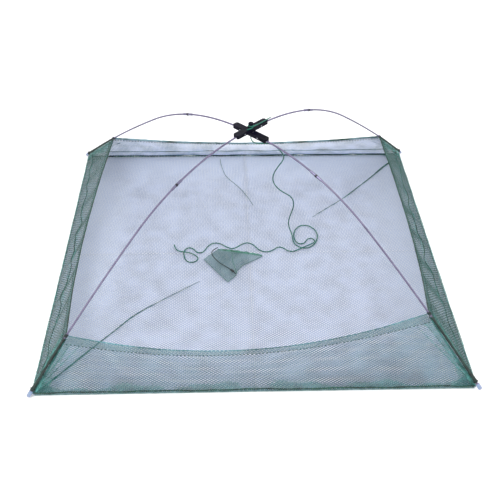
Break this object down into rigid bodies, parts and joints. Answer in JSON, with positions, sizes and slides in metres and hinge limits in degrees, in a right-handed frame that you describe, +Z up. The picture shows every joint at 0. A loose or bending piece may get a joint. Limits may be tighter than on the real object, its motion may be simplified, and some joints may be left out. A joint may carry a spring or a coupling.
{
  "type": "folding crab trap",
  "caption": "Folding net trap: bowed ribs on a two-bar folding hub hold a square open-topped net with a bait pocket, and a pull rope hangs inside.",
  "frame": {"origin": "centre of the square base, on the ground it lies on", "axes": "+Z up, -Y the front side, +X the right side"},
  "size_m": [0.8134, 0.8134, 0.3225],
  "materials": {
    "hub_plastic": "moulded, satin",
    "steel": "turned",
    "rib_rod": "pultruded fibreglass, satin",
    "knuckle_plastic": "moulded, satin",
    "ferrule_metal": "drawn tube",
    "cap_plastic": "milky, moulded",
    "tie_cord": "braided",
    "hem_fabric": "woven tape",
    "floor_net": "knotless diamond mesh",
    "wall_net": "knotless diamond mesh",
    "pocket_net": "fine mesh",
    "dark_cord": "braided",
    "lock_plastic": "moulded",
    "pull_cord": "braided"
  },
  "bodies": {
    "net": {"net_floor": "floor_net", "base_hem_front": "hem_fabric", "base_hem_back": "hem_fabric", "base_hem_left": "hem_fabric", "base_hem_right": "hem_fabric", "wall_front": "wall_net", "wall_back": "wall_net", "wall_left": "wall_net", "wall_right": "wall_net", "rim_hem_front": "hem_fabric", "rim_hem_back": "hem_fabric", "rim_hem_left": "hem_fabric", "rim_hem_right": "hem_fabric", "bait_pocket": "pocket_net", "pocket_drawcord": "dark_cord", "cord_lock": "lock_plastic", "pull_rope": "pull_cord"},
    "hub_lower": {"hub_lower_bar": "hub_plastic", "hub_washer": "steel", "pivot_bolt": "steel", "hub_knob": "hub_plastic", "rib_pin_front_right": "steel", "rib_pin_back_left": "steel"},
    "hub_upper": {"hub_upper_bar": "hub_plastic", "rope_hitch": "pull_cord", "rib_pin_front_left": "steel", "rib_pin_back_right": "steel"},
    "rib_front_left": {"rib_root_front_left": "knuckle_plastic", "rib_inner_front_left": "rib_rod", "rib_ferrule_front_left": "ferrule_metal", "rib_outer_front_left": "rib_rod", "rib_cap_front_left": "cap_plastic", "rim_tie_front_left": "tie_cord", "corner_sleeve_front_left": "hem_fabric"},
    "corner_front_left": {"corner_loop_front_left": "tie_cord"},
    "rib_front_right": {"rib_root_front_right": "knuckle_plastic", "rib_inner_front_right": "rib_rod", "rib_ferrule_front_right": "ferrule_metal", "rib_outer_front_right": "rib_rod", "rib_cap_front_right": "cap_plastic", "rim_tie_front_right": "tie_cord", "corner_sleeve_front_right": "hem_fabric"},
    "corner_front_right": {"corner_loop_front_right": "tie_cord"},
    "rib_back_left": {"rib_root_back_left": "knuckle_plastic", "rib_inner_back_left": "rib_rod", "rib_ferrule_back_left": "ferrule_metal", "rib_outer_back_left": "rib_rod", "rib_cap_back_left": "cap_plastic", "rim_tie_back_left": "tie_cord", "corner_sleeve_back_left": "hem_fabric"},
    "corner_back_left": {"corner_loop_back_left": "tie_cord"},
    "rib_back_right": {"rib_root_back_right": "knuckle_plastic", "rib_inner_back_right": "rib_rod", "rib_ferrule_back_right": "ferrule_metal", "rib_outer_back_right": "rib_rod", "rib_cap_back_right": "cap_plastic", "rim_tie_back_right": "tie_cord", "corner_sleeve_back_right": "hem_fabric"},
    "corner_back_right": {"corner_loop_back_right": "tie_cord"}
  },
  "joints": [
    {"name": "hub_lift", "type": "slide", "parent": "net", "child": "hub_lower", "axis": [0, 0, 1], "range_m": [0, 0.328], "deforming": ["net_floor", "base_hem_front", "base_hem_back", "base_hem_left", "base_hem_right", "wall_front", "wall_back", "wall_left", "wall_right", "rim_hem_front", "rim_hem_back", "rim_hem_left", "rim_hem_right", "bait_pocket", "pocket_drawcord", "pull_rope"]},
    {"name": "hub_scissor", "type": "hinge", "parent": "hub_lower", "child": "hub_upper", "pos_m": [0, 0, 0.3046], "axis": [0, 0, 1], "range_deg": [0, 60]},
    {"name": "fold_front_left", "type": "hinge", "parent": "hub_upper", "child": "rib_front_left", "pos_m": [-0.01626, -0.01626, 0.3081], "axis": [0.7071, -0.7071, 0], "range_deg": [0, 60]},
    {"name": "fold_front_right", "type": "hinge", "parent": "hub_lower", "child": "rib_front_right", "pos_m": [0.01626, -0.01626, 0.2996], "axis": [0.7071, 0.7071, 0], "range_deg": [0, 60]},
    {"name": "fold_back_left", "type": "hinge", "parent": "hub_lower", "child": "rib_back_left", "pos_m": [-0.01626, 0.01626, 0.2996], "axis": [-0.7071, -0.7071, 0], "range_deg": [0, 60]},
    {"name": "fold_back_right", "type": "hinge", "parent": "hub_upper", "child": "rib_back_right", "pos_m": [0.01626, 0.01626, 0.3081], "axis": [-0.7071, 0.7071, 0], "range_deg": [0, 60]},
    {"name": "loop_front_left", "type": "hinge", "parent": "rib_front_left", "child": "corner_front_left", "pos_m": [-0.39574, -0.39574, 0.01436], "axis": [0.7071, -0.7071, 0], "range_deg": [0, 30]},
    {"name": "loop_front_right", "type": "hinge", "parent": "rib_front_right", "child": "corner_front_right", "pos_m": [0.39559, -0.39559, 0.0141], "axis": [0.7071, 0.7071, 0], "range_deg": [0, 30]},
    {"name": "loop_back_left", "type": "hinge", "parent": "rib_back_left", "child": "corner_back_left", "pos_m": [-0.39559, 0.39559, 0.0141], "axis": [-0.7071, -0.7071, 0], "range_deg": [0, 30]},
    {"name": "loop_back_right", "type": "hinge", "parent": "rib_back_right", "child": "corner_back_right", "pos_m": [0.39574, 0.39574, 0.01436], "axis": [-0.7071, 0.7071, 0], "range_deg": [0, 30]}
  ],
  "couplings": [
    {"joint": "hub_scissor", "follows": "hub_lift", "rad_per_m": 3.1926},
    {"joint": "fold_front_left", "follows": "hub_lift", "rad_per_m": 3.1926},
    {"joint": "fold_front_right", "follows": "hub_lift", "rad_per_m": 3.1926},
    {"joint": "fold_back_left", "follows": "hub_lift", "rad_per_m": 3.1926},
    {"joint": "fold_back_right", "follows": "hub_lift", "rad_per_m": 3.1926},
    {"joint": "loop_front_left", "follows": "hub_lift", "rad_per_m": 1.5963},
    {"joint": "loop_front_right", "follows": "hub_lift", "rad_per_m": 1.5963},
    {"joint": "loop_back_left", "follows": "hub_lift", "rad_per_m": 1.5963},
    {"joint": "loop_back_right", "follows": "hub_lift", "rad_per_m": 1.5963}
  ]
}
